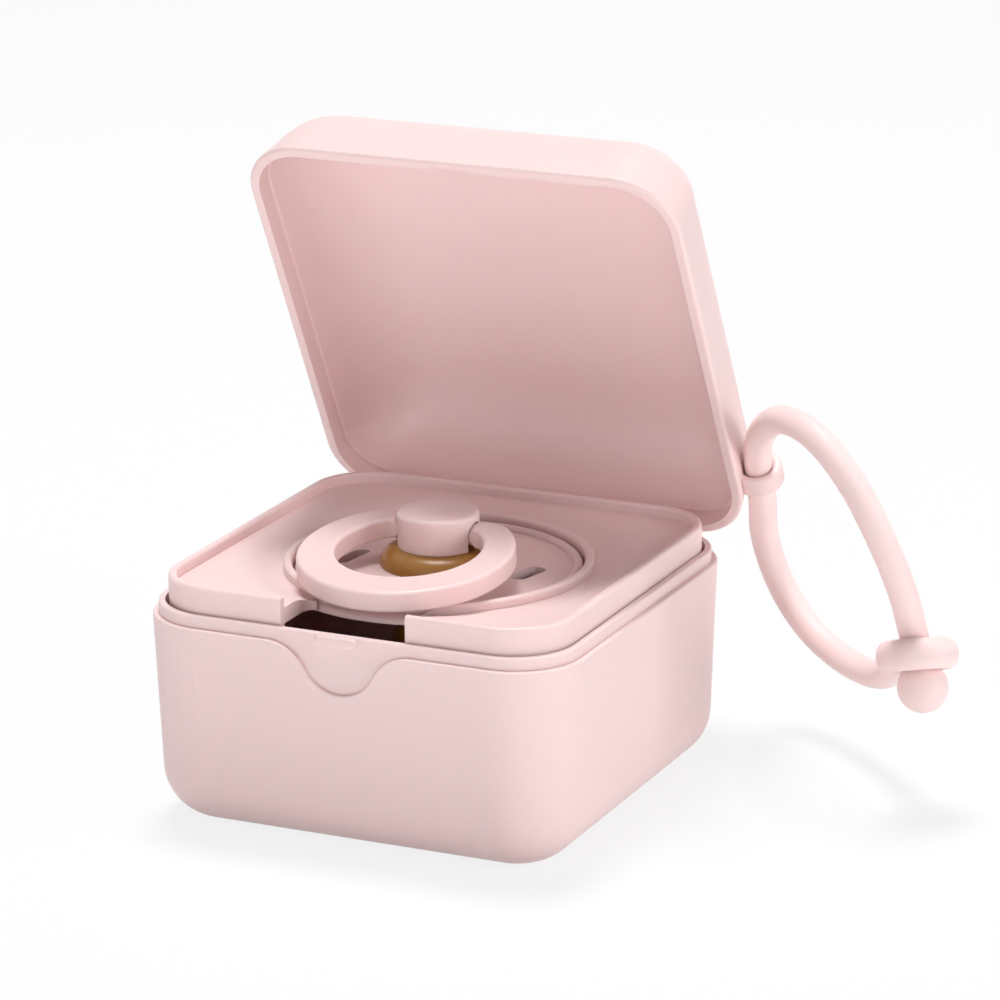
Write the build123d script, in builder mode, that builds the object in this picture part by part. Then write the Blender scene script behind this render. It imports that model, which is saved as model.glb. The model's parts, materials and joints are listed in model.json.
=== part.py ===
from build123d import *
import os
from math import acos, asin, atan2, cos, degrees, pi, radians, sin, sqrt, tan

# Pacifier sterilizer case: a rounded-square cup with a lift-out tray, a hinged lid
# with a carry strap, and the pacifier that the tray holds teat down.
# Millimetres, +Z up, origin at the middle of the case's foot, front towards -Y.
# The lid stands open, and everything on it is drawn where the open lid holds it.

# Case body
case_width = 69.5
case_corner = 11.0
shoulder_height = 32.05
body_draft = 2.3
body_wall = 2.9
floor_thickness = 2.2
foot_fillet = 8.2
cavity_fillet = 6.0
shoulder_round = 0.3

# Lip that the lid closes over
lip_height = 1.85
lip_recess = 0.9
lip_wall = 1.0
lip_round = 0.3
lip_clearance = 0.15

# Thumb scoop and catch bump at the front
scoop_half_width = 11.7
scoop_depth = 7.1
scoop_radius = 6.2
catch_width = 6.8
catch_height = 1.6
catch_stand = 0.6
catch_side = -0.4
catch_round = 0.4
catch_clearance = 0.1

# Tray
tray_clearance = 0.25
tray_seat_gap = 0.1
tray_seat_depth = 7.1
tray_wall = 1.3
tray_corner_ease = 0.6
tray_rim_stand = 4.0
tray_rim_round = 0.5
rim_depth = 1.65
plate_thickness = 1.1
dish_radius = 30.6
dish_depth = 1.35
collar_wall = 1.35
collar_height = 1.35
collar_round = 0.45
ledge_width = 4.0
seat_drop = 1.55
hub_lap = 1.2
hub_foot = 20.0
hub_rise = 1.35
notch_half_width = 10.1
notch_depth = 2.2
notch_corner = 2.4
band_drop = 0.55
band_round = 1.0
band_lap = 0.6
band_margin = 0.4
dip_half_width = 6.5

# Lid
lid_overhang = 0.9
lid_corner = 9.8
lid_height = 17.0
lid_draft = 10.5
lid_crown = 11.0
hollow_crown = 12.0
crown_steps = 4
lid_wall = 1.9
corner_shrink = 0.5
rim_round = 0.5
rabbet_depth = 3.0
rabbet_ledge = 0.5
rim_gap = 0.2
open_angle = 63.0

# Hinge behind the case
knuckle_radius = 1.75
knuckle_stand = 0.15
knuckle_clearance = 0.14
knuckle_length = 7.0
lid_knuckle_length = 18.0
knuckle_gap = 0.3
pin_radius = 0.85
pin_clearance = 0.05
web_height = 4.5
web_lean = 1.2
pin_inset = 0.3

# Ear for the strap, on the lid's right side
strap_diameter = 4.4
ear_clearance = 0.15
ear_wall = 1.45
ear_height = 3.4
ear_round = 0.65
ear_past_corner = 0.15
ear_above_rim = 5.0
ear_stand = -0.35

# Pacifier
shield_radius = 21.75
shield_clearance = 0.4
shield_seat_gap = 0.1
shield_rim = 2.0
shield_rim_width = 1.45
shield_plate = 1.6
shield_dish = 0.8
shield_crown_drop = 0.2
bead_round = 0.7
shield_bore = 6.0
vent_reach = 14.1
vent_turn = 6.0
vent_lean = 18.0
vent_length = 7.4
vent_width = 2.8
knob_radius = 6.2
collar_rise = 2.9
knob_height = 5.3
knob_round = 0.6
knob_hub = 6.0
slot_clearance = 0.3
dimple_radius = 4.6
dimple_depth = 0.3
teat_collar = 8.9
teat_wall = 1.3
teat_length = 28.2
bulb_radius = 9.2
neck_radius = 5.9
neck_length = 3.0
plug_pin_radius = 2.0
plug_clearance = 0.06
plug_length = 5.0
plug_round = 0.8
plug_pin_reach = 1.0

# Handle ring
pivot_rise = 2.25
handle_gap = 0.12
ring_radius = 16.4
ring_centre = 11.2
ring_hole_radius = 11.1
ring_hole_centre = 10.2
ring_thickness = 3.3
ring_round = 0.55
ring_arm = 3.2
arm_neck_radius = 1.7
arm_flare = 1.6
ring_shoulder = 4.5
ring_hole_corner = 2.4
trunnion_radius = 1.0
trunnion_clearance = 0.05
trunnion_length = 1.4
end_gap = 0.4

# How near an edge has to be to count as found
edge_slack = 0.01

# Strap fittings
eyelet_radius = 6.2
eyelet_thickness = 5.0
eyelet_round = 2.4
eyelet_clearance = 0.2
bead_radius = 3.85
bead_drop = 4.9
bead_clearance = 0.05
thread_lead = 4.2
strap_grip = 1.0
bend_share = 0.45


def rounded_square(width, corner):
    """A square with rounded corners, centred on the sketch."""
    return RectangleRounded(width, width, corner)


# Heights and half widths that follow from the sizes above
half = case_width / 2
lip_half = half - lip_recess
lip_top = shoulder_height + lip_height
lip_inner_half = lip_half - lip_wall
lip_inner_corner = case_corner - lip_recess - lip_wall
cavity_half = half - body_wall
tray_seat = lip_top - tray_seat_depth
lid_half = half + lid_overhang
rim_face = lid_overhang + lip_recess - lip_clearance
hinge_setback = knuckle_radius + knuckle_stand
hinge_reach = knuckle_radius + knuckle_clearance
hinge_drop = sqrt(hinge_reach**2 - (hinge_setback - lid_overhang) ** 2) - rim_gap
hinge_y = half + hinge_setback
hinge_z = shoulder_height - hinge_drop
rim_plane = shoulder_height + rim_gap


def rings(part, radius, height):
    """The part's round edges of this radius at this height."""
    circles = part.edges().filter_by(GeomType.CIRCLE)
    level = circles.filter_by_position(Axis.Z, height - edge_slack, height + edge_slack)
    return level.filter_by(lambda edge: abs(edge.radius - radius) < edge_slack)


def opened(x, y, z):
    """Where the open lid carries a point of the closed lid."""
    a = radians(open_angle)
    back, rise = y - hinge_y, z - hinge_z
    return Vector(
        x,
        hinge_y + back * cos(a) + rise * sin(a),
        hinge_z - back * sin(a) + rise * cos(a),
    )


hinge_point = opened(0, hinge_y, hinge_z)
lid_up = opened(0, hinge_y, hinge_z + 1) - hinge_point
lid_back = opened(0, hinge_y + 1, hinge_z) - hinge_point


def lid_level(height):
    """The plane this far above the lid's rim, with the closed lid's x and y."""
    return Plane(opened(0, 0, rim_plane + height), (1, 0, 0), lid_up)


# --- Case body -------------------------------------------------------------
with BuildPart() as cavity:
    with BuildSketch(Plane.XY.offset(tray_seat)):
        rounded_square(2 * cavity_half, lip_inner_corner)
    extrude(amount=floor_thickness - tray_seat, taper=body_draft)
    fillet(cavity.faces().sort_by(Axis.Z)[0].edges(), cavity_fillet)
    with BuildSketch(Plane.XY.offset(tray_seat)):
        rounded_square(2 * lip_inner_half, lip_inner_corner)
    extrude(amount=2 * tray_seat_depth)

scoop_blend = (scoop_half_width**2 + scoop_depth**2) / (2 * scoop_depth) - scoop_radius
scoop_turn = degrees(acos(1 - scoop_depth / (scoop_radius + scoop_blend)))
knuckle_start = lid_knuckle_length / 2 + knuckle_gap
catch_height_place = shoulder_height + lip_height / 2

with BuildPart() as catch_bump:
    with BuildSketch(Plane((catch_side, -lip_half, catch_height_place), (1, 0, 0), (0, -1, 0))):
        RectangleRounded(catch_width, catch_height, catch_height / 2 - edge_slack)
    extrude(amount=catch_stand)
    fillet(catch_bump.faces().sort_by(Axis.Y)[0].edges(), catch_round)

with BuildPart() as base_shell:
    with BuildSketch(Plane.XY.offset(shoulder_height)):
        rounded_square(case_width, case_corner)
    extrude(amount=-shoulder_height, taper=body_draft)
    fillet(base_shell.faces().sort_by(Axis.Z)[0].edges(), foot_fillet)
    # thumb scoop, as deep as the lip stands back
    with BuildSketch(Plane((0, -lip_half, shoulder_height), (1, 0, 0), (0, -1, 0))):
        with BuildLine():
            left = JernArc((-scoop_half_width, 0), (1, 0), scoop_blend, -scoop_turn)
            bowl = JernArc(left @ 1, left % 1, scoop_radius, 2 * scoop_turn)
            right = JernArc(bowl @ 1, bowl % 1, scoop_blend, -scoop_turn)
            Line(right @ 1, left @ 0)
        make_face()
    extrude(amount=2 * lip_recess, mode=Mode.SUBTRACT)
    shoulder = base_shell.faces().filter_by(Axis.Z).sort_by(Axis.Z)[-1]
    fillet(shoulder.edges(), shoulder_round)
    with BuildSketch(Plane.XY.offset(tray_seat)):
        rounded_square(2 * lip_half, case_corner - lip_recess)
    extrude(amount=lip_top - tray_seat)
    fillet(base_shell.faces().sort_by(Axis.Z)[-1].edges(), lip_round)
    # outer hinge knuckles, each on a web that runs down the back wall
    with BuildSketch(Plane.YZ.offset(knuckle_start)) as knuckle:
        with BuildLine():
            Polyline(
                (half - body_wall, hinge_z),
                (hinge_y + knuckle_radius, hinge_z),
                (half - body_wall / 2, hinge_z - web_height),
                (half - body_wall, hinge_z - web_height),
                close=True,
            )
        make_face()
        with Locations((hinge_y, hinge_z)):
            Circle(knuckle_radius)
            Circle(pin_radius + pin_clearance, mode=Mode.SUBTRACT)
    right_knuckle = extrude(amount=knuckle_length)
    mirror(right_knuckle, about=Plane.YZ)
    add(cavity.part, mode=Mode.SUBTRACT)
    add(catch_bump.part)
base_shell.part.label = "base_shell"

with BuildPart() as hinge_pin:
    with BuildSketch(Plane.YZ):
        with Locations((hinge_y, hinge_z)):
            Circle(pin_radius)
    extrude(amount=knuckle_start + knuckle_length - pin_inset, both=True)
hinge_pin.part.label = "hinge_pin"

# --- Tray ------------------------------------------------------------------
tray_half = lip_inner_half - tray_clearance
tray_corner = lip_inner_corner + tray_corner_ease
tray_inner_half = tray_half - tray_wall
tray_inner_corner = tray_corner - tray_wall
tray_foot = tray_seat + tray_seat_gap
tray_crest = lip_top + tray_rim_stand
rim_floor = tray_crest - rim_depth
plate_low = rim_floor - dish_depth
collar_crest = plate_low + collar_height
shield_seat = plate_low - seat_drop
pocket_radius = shield_radius + shield_clearance
collar_radius = pocket_radius + collar_wall
hub_radius = collar_radius + hub_lap
well_radius = pocket_radius - ledge_width
band_top = plate_low - band_drop
band_low = band_top - band_round
band_reach = hub_radius + band_lap
hub_low = band_low - hub_rise
notch_low = lip_top - notch_depth

with BuildPart() as over_band:
    with BuildSketch(Plane.XZ):
        with BuildLine():
            Polyline(
                (hub_radius, band_low),
                (band_reach, band_low),
                (band_reach, tray_crest),
                (hub_radius - band_round, tray_crest),
                (hub_radius - band_round, band_top),
            )
            RadiusArc((hub_radius - band_round, band_top), (hub_radius, band_low), band_round)
        make_face()
    revolve(axis=Axis.Z)
    with BuildSketch(Plane.XY.offset(hub_low)):
        with Locations((0, -tray_half)):
            Rectangle(2 * (notch_half_width - band_margin), 2 * tray_half)
    extrude(amount=tray_crest, mode=Mode.INTERSECT)

with BuildPart() as collar_dip:
    dip_end = (notch_half_width + band_margin, collar_crest + band_margin)
    with BuildSketch(Plane.XZ):
        with BuildLine():
            Line((0, band_top), (dip_half_width, band_top))
            Spline((dip_half_width, band_top), dip_end, tangents=((1, 0), (1, 0.6)))
            Polyline(dip_end, (dip_end[0], tray_crest), (0, tray_crest), (0, band_top))
        make_face()
        mirror(about=Plane.YZ)
    extrude(amount=tray_half)
    with BuildSketch(Plane.XY.offset(band_low)):
        Circle(band_reach)
    extrude(amount=tray_crest, mode=Mode.INTERSECT)

with BuildPart() as tray:
    with BuildSketch(Plane.XY.offset(tray_foot)):
        rounded_square(2 * tray_half, tray_corner)
    extrude(amount=tray_crest - tray_foot)
    with BuildSketch(Plane.XY.offset(rim_floor)):
        rounded_square(2 * tray_inner_half, tray_inner_corner)
    extrude(amount=rim_depth, mode=Mode.SUBTRACT)
    fillet(tray.faces().filter_by(Axis.Z).sort_by(Axis.Z)[-1].edges(), tray_rim_round)
    # dished floor, collar, shield seat and the well for the teat
    with BuildSketch(Plane.XZ):
        with BuildLine():
            Polyline(
                (dish_radius, rim_floor),
                (dish_radius, tray_crest),
                (0, tray_crest),
                (0, tray_foot),
                (well_radius, tray_foot),
                (well_radius, shield_seat),
                (pocket_radius, shield_seat),
                (pocket_radius, collar_crest),
                (collar_radius, collar_crest),
                (collar_radius, plate_low),
            )
            Spline(
                (collar_radius, plate_low),
                (dish_radius, rim_floor),
                tangents=((1, 0), (1, 0)),
            )
        make_face()
    revolve(axis=Axis.Z, mode=Mode.SUBTRACT)
    fillet(rings(tray, collar_radius, collar_crest), collar_round)
    fillet(rings(tray, pocket_radius, collar_crest), collar_round)
    # hollow underneath, around the hub that carries the shield seat
    with BuildSketch(Plane.XY.offset(tray_foot)):
        rounded_square(2 * tray_inner_half, tray_inner_corner)
    extrude(amount=hub_low - tray_foot, mode=Mode.SUBTRACT)
    with BuildSketch(Plane.XY.offset(hub_low)):
        rounded_square(2 * tray_inner_half, tray_inner_corner)
        Circle(hub_radius, mode=Mode.SUBTRACT)
    extrude(amount=plate_low - plate_thickness - hub_low, mode=Mode.SUBTRACT)
    with BuildSketch(Plane.XZ):
        Polygon((hub_foot, hub_low), (hub_radius, hub_low), (hub_radius, band_low), align=None)
    revolve(axis=Axis.Z, mode=Mode.SUBTRACT)
    # front notch, open from the rim to the hub, whose edge is rolled over
    with BuildSketch(Plane.XY.offset(notch_low)) as notch_plan:
        with Locations((0, -tray_half)):
            Rectangle(2 * notch_half_width, 2 * (tray_half - pocket_radius))
        Circle(hub_radius, mode=Mode.SUBTRACT)
        fillet(notch_plan.vertices().sort_by(Axis.Y)[-2:], notch_corner)
    extrude(amount=tray_crest, mode=Mode.SUBTRACT)
    add(collar_dip.part, mode=Mode.SUBTRACT)
    add(over_band.part, mode=Mode.SUBTRACT)
tray.part.label = "tray"

# --- Lid -------------------------------------------------------------------
def lid_levels(base_height, base_half, base_corner, top_height, crown):
    """Level outlines of a drafted rounded square that turns over a crown into a flat top."""
    draft = radians(lid_draft)
    turn_height = top_height - crown * (1 - sin(draft))
    turn_inset = (turn_height - base_height) * tan(draft)
    levels = [(base_height, 0), ((base_height + turn_height) / 2, turn_inset / 2)]
    for step in range(crown_steps + 1):
        a = draft + (radians(90) - draft) * step / crown_steps
        rise = crown * (sin(a) - sin(draft))
        levels.append((turn_height + rise, turn_inset + crown * (cos(draft) - cos(a))))
    outlines = []
    for height, inset in levels:
        with BuildSketch(lid_level(height)) as outline:
            rounded_square(2 * (base_half - inset), base_corner - corner_shrink * inset)
        outlines.append(outline.sketch)
    return outlines


with BuildPart() as lid_hollow:
    hollow_half = lid_half - rim_face - rabbet_ledge
    hollow_corner = lid_corner - rim_face - rabbet_ledge
    hollow_top = lid_height - lid_wall
    loft(lid_levels(rabbet_depth, hollow_half, hollow_corner, hollow_top, hollow_crown))

wall_at_ear = lid_half - (ear_above_rim * tan(radians(lid_draft)))
ear_bore = strap_diameter / 2 + ear_clearance
ear_back = lid_half - lid_corner + ear_past_corner
ear_x = wall_at_ear + (ear_bore + ear_stand) / cos(radians(lid_draft))
ear_centre = opened(ear_x, ear_back, rim_plane + ear_above_rim)
ear_plane = Plane(ear_centre, (1, 0, 0), lid_back)

with BuildPart() as ear:
    with BuildSketch(ear_plane):
        Circle(ear_bore + ear_wall)
        Circle(ear_bore, mode=Mode.SUBTRACT)
    extrude(amount=ear_height / 2, both=True)
    fillet(ear.edges().filter_by(GeomType.CIRCLE), ear_round)

catch_rise = shoulder_height + lip_height / 2 - rim_plane
groove_width = catch_width + 2 * catch_clearance
groove_height = catch_height + 2 * catch_clearance
with BuildPart() as catch_groove:
    groove_face = opened(catch_side, -lip_half, rim_plane + catch_rise)
    with BuildSketch(Plane(groove_face, (1, 0, 0), -lid_back)):
        RectangleRounded(groove_width, groove_height, catch_height / 2)
    extrude(amount=catch_stand + catch_clearance)

with BuildPart() as lid_shell:
    loft(lid_levels(0, lid_half, lid_corner, lid_height, lid_crown))
    fillet(lid_shell.faces().sort_by(Axis(hinge_point, lid_up))[0].edges(), rim_round)
    # middle hinge knuckle and the web that joins it to the rim
    web = [
        opened(0, hinge_y - web_lean, hinge_z),
        opened(0, hinge_y + knuckle_radius, hinge_z),
        opened(0, hinge_y + knuckle_radius, rim_plane + rim_round),
        opened(0, lid_half - rim_face / 2, rim_plane + web_height),
        opened(0, lid_half - rim_face / 2, rim_plane),
    ]
    with BuildSketch(Plane.YZ):
        with BuildLine():
            Polyline(*[(corner.Y, corner.Z) for corner in web], close=True)
        make_face()
        with Locations((hinge_y, hinge_z)):
            Circle(knuckle_radius)
            Circle(pin_radius + pin_clearance, mode=Mode.SUBTRACT)
    extrude(amount=lid_knuckle_length / 2, both=True)
    add(ear.part)
    with BuildSketch(ear_plane):
        Circle(ear_bore)
    extrude(amount=ear_height, both=True, mode=Mode.SUBTRACT)
    with BuildSketch(lid_level(0)):
        rounded_square(2 * (lid_half - rim_face), lid_corner - rim_face)
    extrude(amount=rabbet_depth, mode=Mode.SUBTRACT)
    add(lid_hollow.part, mode=Mode.SUBTRACT)
    add(catch_groove.part, mode=Mode.SUBTRACT)
lid_shell.part.label = "lid_shell"

# --- Pacifier --------------------------------------------------------------
shield_foot = shield_seat + shield_seat_gap
shield_crest = shield_foot + shield_rim
shield_top = shield_crest - shield_crown_drop
shield_low = shield_crest - shield_dish
bead_inner = shield_radius - shield_rim_width
knob_base = shield_top + collar_rise
knob_top = knob_base + knob_height
pivot_height = knob_base + pivot_rise
bulb_bottom = shield_foot - teat_length

with BuildPart() as pacifier_shield:
    with BuildSketch(Plane.XZ):
        with BuildLine():
            Polyline(
                (teat_collar, shield_top),
                (shield_bore, shield_top),
                (shield_bore, shield_top - shield_plate),
                (teat_collar, shield_top - shield_plate),
            )
            Spline(
                (teat_collar, shield_top - shield_plate),
                (well_radius, shield_foot),
                tangents=((1, 0), (1, 0)),
            )
            Polyline(
                (well_radius, shield_foot),
                (shield_radius, shield_foot),
                (shield_radius, shield_crest),
                (bead_inner, shield_crest),
                (bead_inner, shield_low),
                (bead_inner - bead_round, shield_low),
            )
            Spline(
                (bead_inner - bead_round, shield_low),
                (teat_collar, shield_top),
                tangents=((-1, 0), (-1, 0)),
            )
        make_face()
    revolve(axis=Axis.Z)
    fillet(rings(pacifier_shield, bead_inner, shield_crest), bead_round)
    fillet(rings(pacifier_shield, shield_radius, shield_crest), bead_round)
    fillet(rings(pacifier_shield, shield_radius, shield_foot), bead_round)
    with BuildSketch(Plane.XY.offset(shield_foot)):
        with PolarLocations(vent_reach, 2, start_angle=vent_turn):
            SlotOverall(vent_length, vent_width, rotation=90 - vent_lean)
    extrude(amount=shield_rim, both=True, mode=Mode.SUBTRACT)
pacifier_shield.part.label = "pacifier_shield"

with BuildPart() as pacifier_teat:
    neck_end = shield_foot - neck_length
    bulb_centre = bulb_bottom + bulb_radius
    with BuildSketch(Plane.XZ):
        with BuildLine():
            Line((0, knob_base), (knob_radius, knob_base))
            collar = Spline(
                (knob_radius, knob_base),
                (teat_collar, shield_top),
                tangents=((1, -0.1), (-0.05, -1)),
            )
            Line((teat_collar, shield_top), (neck_radius, shield_top))
            Line((neck_radius, shield_top), (neck_radius, neck_end))
            flank = Spline(
                (neck_radius, neck_end),
                (bulb_radius, bulb_centre),
                tangents=((0, -1), (0, -1)),
            )
            tip = CenterArc((0, bulb_centre), bulb_radius, -90, 90)
            Line((0, bulb_bottom), (0, knob_base))
        make_face()
    revolve(axis=Axis.Z)
    with BuildSketch(Plane.XZ):
        with BuildLine():
            inner_neck = neck_radius - teat_wall
            inner_top = knob_base - teat_wall
            Line((0, inner_top), (inner_neck, inner_top))
            Line((inner_neck, inner_top), (inner_neck, neck_end))
            Spline(
                (inner_neck, neck_end),
                (bulb_radius - teat_wall, bulb_centre),
                tangents=((0, -1), (0, -1)),
            )
            CenterArc((0, bulb_centre), bulb_radius - teat_wall, -90, 90)
            Line((0, bulb_bottom + teat_wall), (0, inner_top))
        make_face()
    revolve(axis=Axis.Z, mode=Mode.SUBTRACT)
    with BuildSketch(Plane.XY.offset(inner_top)):
        Circle(plug_pin_radius + plug_clearance)
    extrude(amount=2 * teat_wall, mode=Mode.SUBTRACT)
pacifier_teat.part.label = "pacifier_teat"

with BuildPart() as pacifier_plug:
    with BuildSketch(Plane.XY.offset(inner_top - plug_clearance)):
        Circle(inner_neck - plug_clearance)
    extrude(amount=-plug_length)
    fillet(pacifier_plug.faces().sort_by(Axis.Z)[0].edges(), plug_round)
    with BuildSketch(Plane.XY.offset(inner_top - plug_clearance)):
        Circle(plug_pin_radius)
    extrude(amount=teat_wall + plug_pin_reach)
pacifier_plug.part.label = "pacifier_plug"

slot_radius = arm_neck_radius + slot_clearance
slot_length = 2 * (pivot_height + slot_radius - knob_base)

with BuildPart() as pacifier_knob:
    with BuildSketch(Plane.XY.offset(knob_base)):
        Circle(knob_radius)
    extrude(amount=knob_height)
    fillet(rings(pacifier_knob, knob_radius, knob_top), knob_round)
    dimple_ball = (dimple_radius**2 + dimple_depth**2) / (2 * dimple_depth)
    with Locations((0, 0, knob_top - dimple_depth + dimple_ball)):
        Sphere(dimple_ball, mode=Mode.SUBTRACT)
    for facing in (1, -1):
        hub_face = Plane((facing * knob_hub / 2, 0, pivot_height), (0, 1, 0), (1, 0, 0))
        with BuildSketch(hub_face):
            with Locations((0, -slot_length / 2 + slot_radius)):
                RectangleRounded(2 * slot_radius, slot_length, slot_radius - edge_slack)
        extrude(amount=facing * knob_radius, mode=Mode.SUBTRACT)
        with BuildSketch(hub_face):
            Circle(trunnion_radius + trunnion_clearance)
        extrude(amount=-facing * trunnion_length, mode=Mode.SUBTRACT)
    with BuildSketch(Plane.XY.offset(knob_base)):
        Circle(plug_pin_radius + plug_clearance)
    extrude(amount=plug_pin_reach, mode=Mode.SUBTRACT)
pacifier_knob.part.label = "pacifier_knob"

front_rise = pivot_height - ring_thickness / 2 - handle_gap - collar_crest
tilt = atan2(front_rise, sqrt(collar_radius**2 - notch_half_width**2))
ring_plane = Plane((0, 0, pivot_height), (1, 0, 0), (0, -sin(tilt), cos(tilt)))
arm_start = knob_hub / 2 + end_gap

with BuildPart() as pacifier_handle:
    with BuildSketch(ring_plane) as ring_outline:
        with Locations((0, -ring_centre)):
            Circle(ring_radius)
        with Locations((0, ring_arm / 2 - ring_radius - ring_centre)):
            Rectangle(3 * ring_radius, 2 * (ring_radius + ring_centre), mode=Mode.INTERSECT)
        fillet(ring_outline.vertices(), ring_shoulder)
    extrude(amount=ring_thickness / 2, both=True)
    with BuildSketch(ring_plane) as ring_hole:
        with Locations((0, -ring_hole_centre)):
            Circle(ring_hole_radius)
        with Locations((0, -ring_arm / 2 - ring_hole_radius - ring_hole_centre)):
            Rectangle(3 * ring_radius, 2 * (ring_hole_radius + ring_hole_centre), mode=Mode.INTERSECT)
        fillet(ring_hole.vertices(), ring_hole_corner)
        Rectangle(2 * arm_start, 2 * ring_arm)
    extrude(amount=ring_thickness, both=True, mode=Mode.SUBTRACT)
    faces = pacifier_handle.faces().sort_by(Axis((0, 0, 0), ring_plane.z_dir))
    fillet(faces[0].edges() + faces[-1].edges(), ring_round)
    # arms turned round where they enter the knob
    for facing in (1, -1):
        with BuildSketch(Plane.XZ):
            with Locations((0, pivot_height)):
                Polygon(
                    (0, arm_neck_radius),
                    (facing * knob_radius, arm_neck_radius),
                    (facing * (knob_radius + arm_flare), ring_thickness),
                    (0, ring_thickness),
                    align=None,
                )
        revolve(axis=Axis((0, 0, pivot_height), (1, 0, 0)), mode=Mode.SUBTRACT)
    for facing in (1, -1):
        with BuildSketch(Plane((facing * arm_start, 0, 0), (0, 1, 0), (1, 0, 0))):
            with Locations((0, pivot_height)):
                Circle(trunnion_radius)
        extrude(amount=-facing * (trunnion_length + knob_hub / 2 - arm_start + end_gap))
pacifier_handle.part.label = "pacifier_handle"

# --- Strap -----------------------------------------------------------------
# The loop lies in one plane through the ear. Its route is drawn there, x along the
# way that the loop hangs and y across it, from the eyelet under and up through the
# ear, over the top and back down through the eyelet to the bead.
strap_plane = Plane(ear_centre, (0.516, -0.047, -0.856), (-0.604, -0.728, -0.325))
eyelet_place = (34.4, 25.6)
thread_way = (0.906, -0.275, 0.322)
strap_points = [
    (33.0, 21.6),
    (35.5, 14.8),
    (35.8, 5.7),
    (32.1, -4.3),
    (25.7, -12.4),
    (17.3, -14.9),
    (8.6, -11.0),
    (3.4, -3.1),
    (-3.4, 3.1),
    (-6.5, 12.4),
    (-6.1, 21.9),
    (-1.6, 30.3),
    (6.5, 34.6),
    (15.7, 34.6),
    (24.7, 31.2, -0.5),
]


def on_strap(x, y, off=0):
    """A point of the loop's plane in space, or one a little off that plane."""
    return strap_plane.from_local_coords(Vector(x, y, off))


thread = (on_strap(*thread_way) - on_strap(0, 0)).normalized()
eyelet_centre = on_strap(*eyelet_place)
bead_centre = eyelet_centre + thread * bead_drop
route = [on_strap(*place) for place in strap_points]
route.append(eyelet_centre - thread * thread_lead)
route.append(bead_centre - thread * (bead_radius - strap_grip))
runs = [after - before for before, after in zip(route, route[1:])]
bends = []
for before, after in zip(runs, runs[1:]):
    half_turn = radians(before.get_angle(after)) / 2
    bends.append(bend_share * min(before.length, after.length) / tan(half_turn))
print("strap bend radii", [round(bend, 1) for bend in bends])
print("strap runs", [round(run.length, 1) for run in runs])

with BuildPart() as strap_cord:
    with BuildLine():
        strap_line = FilletPolyline(*route, radius=bends)
    with BuildSketch(Plane(route[0], z_dir=runs[0])):
        Circle(strap_diameter / 2)
    sweep()
strap_cord.part.label = "strap_cord"
strap_section = pi * strap_diameter**2 / 4
print("strap length", round(strap_line.length, 1))
print("strap volume share", round(strap_cord.part.volume / strap_section / strap_line.length, 5))

with BuildPart() as strap_eyelet:
    with BuildSketch(Plane(eyelet_centre, z_dir=thread)):
        Circle(eyelet_radius)
    extrude(amount=eyelet_thickness / 2, both=True)
    fillet(strap_eyelet.edges().filter_by(GeomType.CIRCLE), eyelet_round)
    with BuildSketch(Plane(eyelet_centre, z_dir=thread)):
        Circle(strap_diameter / 2 + eyelet_clearance)
    extrude(amount=eyelet_thickness, both=True, mode=Mode.SUBTRACT)
    with Locations(bead_centre):
        Sphere(bead_radius + bead_clearance, mode=Mode.SUBTRACT)
strap_eyelet.part.label = "strap_eyelet"

with BuildPart() as strap_bead:
    with Locations(bead_centre):
        Sphere(bead_radius)
strap_bead.part.label = "strap_bead"

os.makedirs("parts", exist_ok=True)
export_step(base_shell.part, "parts/base_shell.step")
export_step(hinge_pin.part, "parts/hinge_pin.step")
export_step(tray.part, "parts/tray.step")
export_step(lid_shell.part, "parts/lid_shell.step")
export_step(pacifier_shield.part, "parts/pacifier_shield.step")
export_step(pacifier_teat.part, "parts/pacifier_teat.step")
export_step(pacifier_plug.part, "parts/pacifier_plug.step")
export_step(pacifier_knob.part, "parts/pacifier_knob.step")
export_step(pacifier_handle.part, "parts/pacifier_handle.step")
export_step(strap_cord.part, "parts/strap_cord.step")
export_step(strap_eyelet.part, "parts/strap_eyelet.step")
export_step(strap_bead.part, "parts/strap_bead.step")
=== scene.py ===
import json
from math import copysign, cos, pi, radians, sin

import bmesh
import bpy
from mathutils import Matrix, Vector


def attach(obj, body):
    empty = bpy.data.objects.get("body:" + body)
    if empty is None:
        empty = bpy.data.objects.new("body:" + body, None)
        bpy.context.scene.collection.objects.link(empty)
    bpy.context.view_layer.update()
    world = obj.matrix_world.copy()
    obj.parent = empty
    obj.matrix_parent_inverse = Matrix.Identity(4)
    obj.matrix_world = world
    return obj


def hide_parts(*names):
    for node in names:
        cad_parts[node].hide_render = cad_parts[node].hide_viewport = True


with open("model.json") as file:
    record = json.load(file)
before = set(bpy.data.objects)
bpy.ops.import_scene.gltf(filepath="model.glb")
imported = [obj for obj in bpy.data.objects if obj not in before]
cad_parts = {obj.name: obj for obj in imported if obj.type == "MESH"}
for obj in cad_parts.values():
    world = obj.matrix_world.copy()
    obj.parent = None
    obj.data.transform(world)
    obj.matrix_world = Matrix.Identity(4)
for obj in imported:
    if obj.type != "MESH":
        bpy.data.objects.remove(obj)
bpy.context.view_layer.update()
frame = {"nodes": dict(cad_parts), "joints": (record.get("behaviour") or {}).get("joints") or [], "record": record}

# Everything is in metres, in the case's own frame: +Z up, front towards -Y, foot at 0.
MM = 0.001
joints = {joint["name"]: joint for joint in frame["joints"]}


def link(data, name):
    """A new object in the scene that holds this mesh, lamp or camera."""
    piece = bpy.data.objects.new(name, data)
    bpy.context.scene.collection.objects.link(piece)
    return piece


def mesh_piece(mesh, name):
    """A new object made of this working mesh, which is used up."""
    data = bpy.data.meshes.new(name)
    mesh.to_mesh(data)
    mesh.free()
    return link(data, name)


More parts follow.
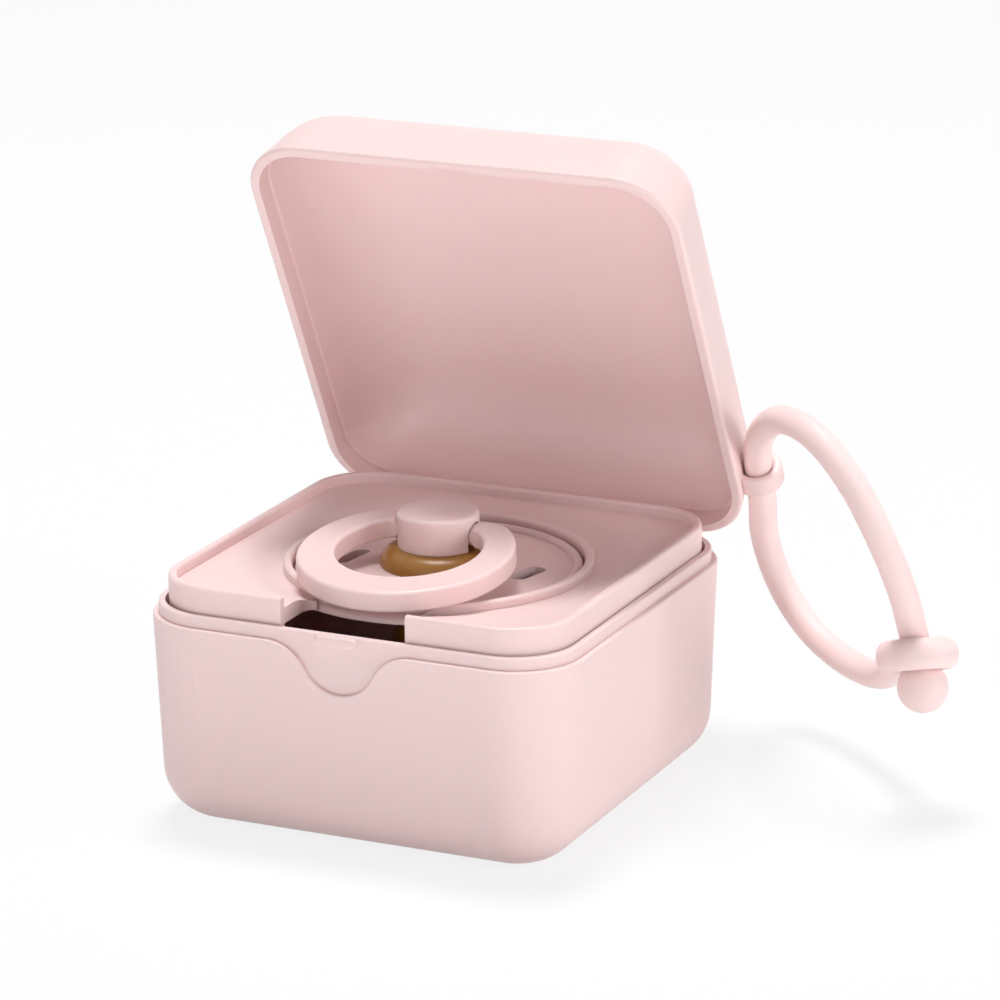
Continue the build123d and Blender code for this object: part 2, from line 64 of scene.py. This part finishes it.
# --- Camera ------------------------------------------------------------------
# A long lens, low and to the right of the case's front.
CAMERA_AZIMUTH = radians(25.04)
CAMERA_ELEVATION = radians(16.94)
CAMERA_ROLL = radians(-0.59)
CAMERA_PLACE = Vector((0.30999, -0.64158, 0.26201))
LENS = 178.26
SENSOR = 36.0
FARTHEST_SEEN = 20.0


def place_camera():
    """The photograph's camera, turned about its own view line by the roll."""
    back = Vector((
        sin(CAMERA_AZIMUTH) * cos(CAMERA_ELEVATION),
        -cos(CAMERA_AZIMUTH) * cos(CAMERA_ELEVATION),
        sin(CAMERA_ELEVATION),
    ))
    level = Vector((cos(CAMERA_AZIMUTH), sin(CAMERA_AZIMUTH), 0))
    upright = back.cross(level)
    right = level * cos(CAMERA_ROLL) + upright * sin(CAMERA_ROLL)
    up = back.cross(right)
    data = bpy.data.cameras.new("camera")
    data.lens = LENS
    data.sensor_width = SENSOR
    data.clip_end = FARTHEST_SEEN
    camera = link(data, "camera")
    turn = Matrix((right, up, back)).transposed().to_4x4()
    camera.matrix_world = Matrix.Translation(CAMERA_PLACE) @ turn
    bpy.context.scene.camera = camera


place_camera()


# --- Strap -------------------------------------------------------------------
# The loop lies in one plane through the lid's ear. Its route runs from the eyelet
# under and up through the ear, over the top and down through the eyelet to the bead.
STRAP_DIAMETER = 4.4 * MM
LOOP_DOWN = Vector((0.516, -0.047, -0.856)).normalized()
LOOP_NORMAL = Vector((-0.604, -0.728, -0.325)).normalized()
LOOP_ACROSS = LOOP_NORMAL.cross(LOOP_DOWN)
EAR = Vector(joints["strap_swing"]["pos_m"])
# The eyelet's centre, down the loop and across it from the ear, in metres.
EYELET = (0.0344, 0.0256)
# The cord's way through the eyelet: down, across and off the loop's plane.
THREAD = (0.906, -0.275, 0.322)
THREAD_LEAD = 4.2 * MM
# The bead hangs this far beyond the eyelet's centre, and a little aside.
BEAD_DROP = 4.9 * MM
BEAD_LEAN = Vector((0.5, 0.22, 0)) * MM
BEAD_RADIUS = 3.85 * MM
STRAP_GRIP = 1.0 * MM
# The cord's thickness at its first points, as a share of the rest.
ROOT_SWELL = (0.85, 1.12)
# How finely the cord is drawn: the smoothing's order, steps along a span, and round it.
STRAP_ORDER = 3
STRAP_STEPS = 16
STRAP_ROUNDNESS = 10
STRAP_MERGE = 0.001 * MM
# Down the loop and across it from the ear, in metres, and for some points off its plane.
STRAP_POINTS = [
    (0.0330, 0.0216),
    (0.0355, 0.0148),
    (0.0358, 0.0057),
    (0.0321, -0.0043),
    (0.0257, -0.0124),
    (0.0173, -0.0149),
    (0.0086, -0.0110),
    (0.0040, -0.0036),
    (-0.0040, 0.0036, -0.00015),
    (-0.0065, 0.0124, -0.0003),
    (-0.0061, 0.0219),
    (-0.0016, 0.0303),
    (0.0065, 0.0346),
    (0.0157, 0.0346),
    (0.0247, 0.0312, -0.0005),
]


def on_loop(down, across, off=0):
    """A point of the strap's plane in space, or one a little off that plane."""
    return EAR + LOOP_DOWN * down + LOOP_ACROSS * across + LOOP_NORMAL * off


thread = (on_loop(*THREAD) - EAR).normalized()
eyelet_centre = on_loop(*EYELET)
bead_centre = eyelet_centre + thread * BEAD_DROP + BEAD_LEAN
strap_route = [on_loop(*place) for place in STRAP_POINTS]
strap_route.append(eyelet_centre - thread * THREAD_LEAD - BEAD_LEAN)
strap_route.append(bead_centre - thread * (BEAD_RADIUS - STRAP_GRIP))


def make_strap():
    """The strap as one smooth round cord that swells where it grows out of the eyelet."""
    curve = bpy.data.curves.new("strap", "CURVE")
    curve.dimensions = "3D"
    curve.resolution_u = STRAP_STEPS
    spline = curve.splines.new("NURBS")
    spline.points.add(len(strap_route) - 1)
    for point, place in zip(spline.points, strap_route):
        point.co = (*place, 1)
    spline.order_u = STRAP_ORDER
    spline.use_endpoint_u = True
    route = bpy.data.objects.new("route", curve)
    path = [vertex.co.copy() for vertex in bpy.data.meshes.new_from_object(route).vertices]
    for point, swell in zip(spline.points, ROOT_SWELL):
        point.radius = swell
    curve.bevel_depth = STRAP_DIAMETER / 2
    curve.bevel_resolution = STRAP_ROUNDNESS
    curve.use_fill_caps = True
    tube = bpy.data.meshes.new_from_object(route)
    bpy.data.objects.remove(route)
    mesh = bmesh.new()
    mesh.from_mesh(tube)
    bmesh.ops.remove_doubles(mesh, verts=mesh.verts, dist=STRAP_MERGE)
    mesh.to_mesh(tube)
    mesh.free()
    tube.shade_smooth()
    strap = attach(link(tube, "strap"), "strap")
    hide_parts("strap_cord")
    return strap, path


# --- Eyelet and bead -----------------------------------------------------------
ROUND_STEPS = 96
EYELET_RADIUS = 6.2 * MM
EYELET_BORE = 2.4 * MM
EYELET_HALF = 2.4 * MM
EYELET_AXIS = Vector((0.21, -0.312, -0.927)).normalized()
EYELET_STEPS = 40
# 1 gives the eyelet a round section, and less than 1 a squarer one.
EYELET_ROUNDNESS = 0.92
BEAD_STEPS = 32


def turned(name, profile, centre, axis, closed=False):
    """A round piece: (radius, height) points turned about an axis through its centre."""
    mesh = bmesh.new()
    turn = axis.to_track_quat("Z", "Y").to_matrix()
    rings = []
    for radius, height in profile:
        angles = [2 * pi * step / ROUND_STEPS for step in range(ROUND_STEPS)] if radius else [0]
        places = [Vector((radius * cos(a), radius * sin(a), height)) for a in angles]
        rings.append([mesh.verts.new(centre + turn @ place) for place in places])
    if closed:
        rings.append(rings[0])
    for low, high in zip(rings, rings[1:]):
        for step in range(ROUND_STEPS):
            after = (step + 1) % ROUND_STEPS
            if len(low) == 1:
                mesh.faces.new((low[0], high[after], high[step]))
            elif len(high) == 1:
                mesh.faces.new((low[step], low[after], high[0]))
            else:
                mesh.faces.new((low[step], low[after], high[after], high[step]))
    bmesh.ops.recalc_face_normals(mesh, faces=mesh.faces)
    piece = mesh_piece(mesh, name)
    piece.data.shade_smooth()
    return piece


def eyelet_swell(share):
    """A cosine or sine, pushed outwards by the eyelet's squarer section."""
    return copysign(abs(share) ** EYELET_ROUNDNESS, share)


def make_eyelet():
    """The thick round eyelet, rounded like a ring of dough, a little tipped on its strand."""
    middle = (EYELET_RADIUS + EYELET_BORE) / 2
    reach = (EYELET_RADIUS - EYELET_BORE) / 2
    profile = []
    for step in range(EYELET_STEPS):
        a = 2 * pi * step / EYELET_STEPS
        profile.append((middle + reach * eyelet_swell(cos(a)), EYELET_HALF * eyelet_swell(sin(a))))
    ring = turned("eyelet", profile, eyelet_centre, EYELET_AXIS, closed=True)
    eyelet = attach(ring, "strap")
    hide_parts("strap_eyelet")
    return eyelet


def make_bead():
    """The ball that closes the loop."""
    profile = [(0, BEAD_RADIUS)]
    for step in range(1, BEAD_STEPS):
        a = pi / 2 - pi * step / BEAD_STEPS
        profile.append((BEAD_RADIUS * cos(a), BEAD_RADIUS * sin(a)))
    profile.append((0, -BEAD_RADIUS))
    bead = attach(turned("bead", profile, bead_centre, thread), "strap")
    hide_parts("strap_bead")
    return bead


strap, strap_path = make_strap()
eyelet = make_eyelet()
bead = make_bead()


# --- Shader writing ------------------------------------------------------------
class Wire:
    """A shader socket that can be reckoned with: + and * add Math nodes."""

    def __init__(self, maker, socket):
        self.maker = maker
        self.socket = socket

    def reckon(self, operation, other):
        return self.maker.add("ShaderNodeMath", {"operation": operation}, {0: self, 1: other})

    def __add__(self, other):
        return self.reckon("ADD", other)

    __radd__ = __add__

    def __mul__(self, other):
        return self.reckon("MULTIPLY", other)

    __rmul__ = __mul__


class Shader:
    """A material, or the world's surface, under construction."""

    def __init__(self, target):
        """Starts a new material of this name, or clears the world that is handed in."""
        is_name = isinstance(target, str)
        self.material = bpy.data.materials.new(target) if is_name else target
        self.material.use_nodes = True
        self.tree = self.material.node_tree
        self.tree.nodes.clear()
        self.place = self.add("ShaderNodeTexCoord", output="Object")

    def add(self, kind, settings=None, inputs=None, output=0):
        """A node of this kind: its settings first, then its sockets' values or links."""
        node = self.tree.nodes.new(kind)
        for key, value in (settings or {}).items():
            setattr(node, key, value)
        for key, value in (inputs or {}).items():
            if isinstance(value, Wire):
                self.tree.links.new(value.socket, node.inputs[key])
            else:
                node.inputs[key].default_value = value
        return Wire(self, node.outputs[output]) if node.outputs else None

    def noise(self, scale, detail=2.0, roughness=0.5):
        """Soft noise, from 0 to 1, with this many lumps to a metre."""
        sockets = {"Vector": self.place, "Scale": scale, "Detail": detail, "Roughness": roughness}
        return self.add("ShaderNodeTexNoise", inputs=sockets, output="Fac")

    def blend(self, share, first, second):
        """Two colours mixed by a share."""
        sockets = {"Factor": share, 6: (*first, 1), 7: (*second, 1)}
        return self.add("ShaderNodeMix", {"data_type": "RGBA"}, sockets, output=2)

    def bump(self, height, distance):
        """A Bump node's normal from a height in units of the distance."""
        sockets = {"Height": height, "Distance": distance}
        return self.add("ShaderNodeBump", inputs=sockets)

    def mix(self, share, first, second):
        """Two surfaces mixed by a share."""
        return self.add("ShaderNodeMixShader", inputs={0: share, 1: first, 2: second})

    def close(self, surface, kind="Material"):
        """Sends this surface to the material's output, or to the world's."""
        self.add("ShaderNodeOutput" + kind, inputs={"Surface": surface})

    def finish(self, **sockets):
        """Closes the material with one Principled shader."""
        named = {}
        for key, value in sockets.items():
            named[key.replace("_", " ").title().replace("Ior", "IOR")] = value
        self.close(self.add("ShaderNodeBsdfPrincipled", inputs=named))
        return self.material


# --- Materials -----------------------------------------------------------------
PINK = (0.868, 0.668, 0.658)
PINK_SHADE = (0.848, 0.646, 0.636)
SILICONE = (0.93, 0.735, 0.72)
SILICONE_SHADE = (0.90, 0.705, 0.69)
AMBER = (0.46, 0.215, 0.025)
AMBER_DEEP = (0.27, 0.11, 0.012)


def moulded_plastic(name, roughness, grain):
    """Satin moulded polypropylene: spark-eroded grain, faint flow marks, a cloudy colour."""
    make = Shader(name)
    cloud = make.noise(scale=28.0, detail=3.0)
    fleck = make.noise(scale=2600.0, roughness=0.6)
    flow = make.noise(scale=160.0)
    cloud_rough = 0.06
    fleck_rough = 0.05
    least_rough = roughness - (cloud_rough + fleck_rough) / 2
    return make.finish(
        base_color=make.blend(cloud * 0.7 + fleck * 0.3, PINK_SHADE, PINK),
        roughness=cloud * cloud_rough + fleck * fleck_rough + least_rough,
        normal=make.bump(fleck * 0.7 + flow * 0.3, grain),
        ior=1.48,
        subsurface_weight=0.2,
        subsurface_radius=(1.0, 0.6, 0.55),
        subsurface_scale=2.0 * MM,
    )


def silicone(name):
    """Soft matte silicone: smooth, a little cloudy, with dust-fine grain."""
    make = Shader(name)
    cloud = make.noise(scale=55.0, detail=3.0)
    fleck = make.noise(scale=3200.0, roughness=0.6)
    return make.finish(
        base_color=make.blend(cloud * 0.75 + fleck * 0.25, SILICONE_SHADE, SILICONE),
        roughness=cloud * 0.08 + 0.46,
        normal=make.bump(fleck * 0.6 + cloud * 0.4, 0.005 * MM),
        ior=1.41,
        subsurface_weight=0.2,
        subsurface_radius=(1.0, 0.5, 0.45),
        subsurface_scale=1.5 * MM,
        sheen_weight=0.08,
        sheen_roughness=0.4,
    )


def amber_rubber(name):
    """Natural rubber: honey brown in darker and lighter clouds, with a soft wet gloss."""
    make = Shader(name)
    cloud = make.noise(scale=210.0, detail=3.0)
    streak = make.noise(scale=900.0)
    return make.finish(
        base_color=make.blend(cloud * 0.8 + streak * 0.2, AMBER_DEEP, AMBER),
        roughness=cloud * 0.12 + 0.26,
        normal=make.bump(cloud * 0.7 + streak * 0.3, 0.03 * MM),
        ior=1.52,
        subsurface_weight=0.35,
        subsurface_radius=(1.0, 0.5, 0.18),
        subsurface_scale=2.0 * MM,
    )


SLOT_MATERIALS = {
    "case_plastic": moulded_plastic("case_plastic", roughness=0.42, grain=0.004 * MM),
    "pacifier_plastic": moulded_plastic("pacifier_plastic", roughness=0.38, grain=0.003 * MM),
    "strap_silicone": silicone("strap_silicone"),
    "teat_rubber": amber_rubber("teat_rubber"),
}


def paint(piece, material):
    """Gives a piece, or a CAD node, its one material."""
    piece.data.materials.clear()
    piece.data.materials.append(material)


for entry in frame["record"]["subparts"]:
    paint(frame["nodes"][entry["node"]], SLOT_MATERIALS[entry["material_slot"]])
for piece in (strap, eyelet, bead):
    paint(piece, SLOT_MATERIALS["strap_silicone"])


# --- Stage ---------------------------------------------------------------------
WHITE = (1, 1, 1, 1)
FLOOR_HALF = 6.0
FLOOR_COLOUR = (0.9, 0.9, 0.9, 1)
# How much of the floor's look is its own white, which hides all but a faint shadow.
FLOOR_GLOW = 0.82
WORLD_STRENGTH = 0.2
LIT_POINT = (0.0, 0.0, 0.03)
# Each lamp's name, place, the point it looks at, its side in metres and its watts.
LAMPS = [
    ("top", (-0.13, 0.23, 1.2), LIT_POINT, 0.32, 11.6),
    ("side", (1.15, 0.05, 0.26), LIT_POINT, 0.6, 6.5),
    ("front", (0.1, -1.2, 0.1), LIT_POINT, 0.8, 5.3),
    ("bounce", (0.05, -0.33, 0.004), (0.05, -0.33, 1.0), 0.45, 0.7),
]


def looked_at(make):
    """1 for a ray from the camera, a reflection or something clear, 0 for plain light."""
    kinds = ("Is Camera Ray", "Is Glossy Ray", "Is Transmission Ray")
    seen = sum(make.add("ShaderNodeLightPath", output=kind) for kind in kinds)
    return make.add("ShaderNodeMath", {"operation": "MINIMUM"}, {0: seen, 1: 1.0})


def make_floor():
    """A plain white floor that keeps only a faint shadow."""
    mesh = bmesh.new()
    bmesh.ops.create_grid(mesh, x_segments=1, y_segments=1, size=FLOOR_HALF)
    floor = mesh_piece(mesh, "floor")
    make = Shader("floor")
    seen = looked_at(make)
    cloth = make.add("ShaderNodeBsdfDiffuse", inputs={"Color": FLOOR_COLOUR})
    glow = make.add("ShaderNodeEmission", inputs={"Color": WHITE, "Strength": 1.0})
    make.close(make.mix(seen * FLOOR_GLOW, cloth, glow))
    paint(floor, make.material)


def make_world():
    """White where the camera or a reflection looks, and a plain soft light elsewhere."""
    world = bpy.data.worlds.new("world")
    bpy.context.scene.world = world
    make = Shader(world)
    light = make.add("ShaderNodeBackground", inputs={"Color": WHITE, "Strength": WORLD_STRENGTH})
    white = make.add("ShaderNodeBackground", inputs={"Color": WHITE, "Strength": 1.0})
    make.close(make.mix(looked_at(make), light, white), "World")


def soft_lamp(name, place, target, size, power):
    """A square soft lamp that the camera doesn't see."""
    data = bpy.data.lights.new(name, "AREA")
    data.shape = "SQUARE"
    data.size = size
    data.energy = power
    lamp = link(data, name)
    lamp.visible_camera = False
    aim = (Vector(target) - Vector(place)).to_track_quat("-Z", "Y").to_matrix().to_4x4()
    lamp.matrix_world = Matrix.Translation(place) @ aim


make_floor()
make_world()
for lamp in LAMPS:
    soft_lamp(*lamp)
bpy.context.scene.view_settings.view_transform = "Standard"
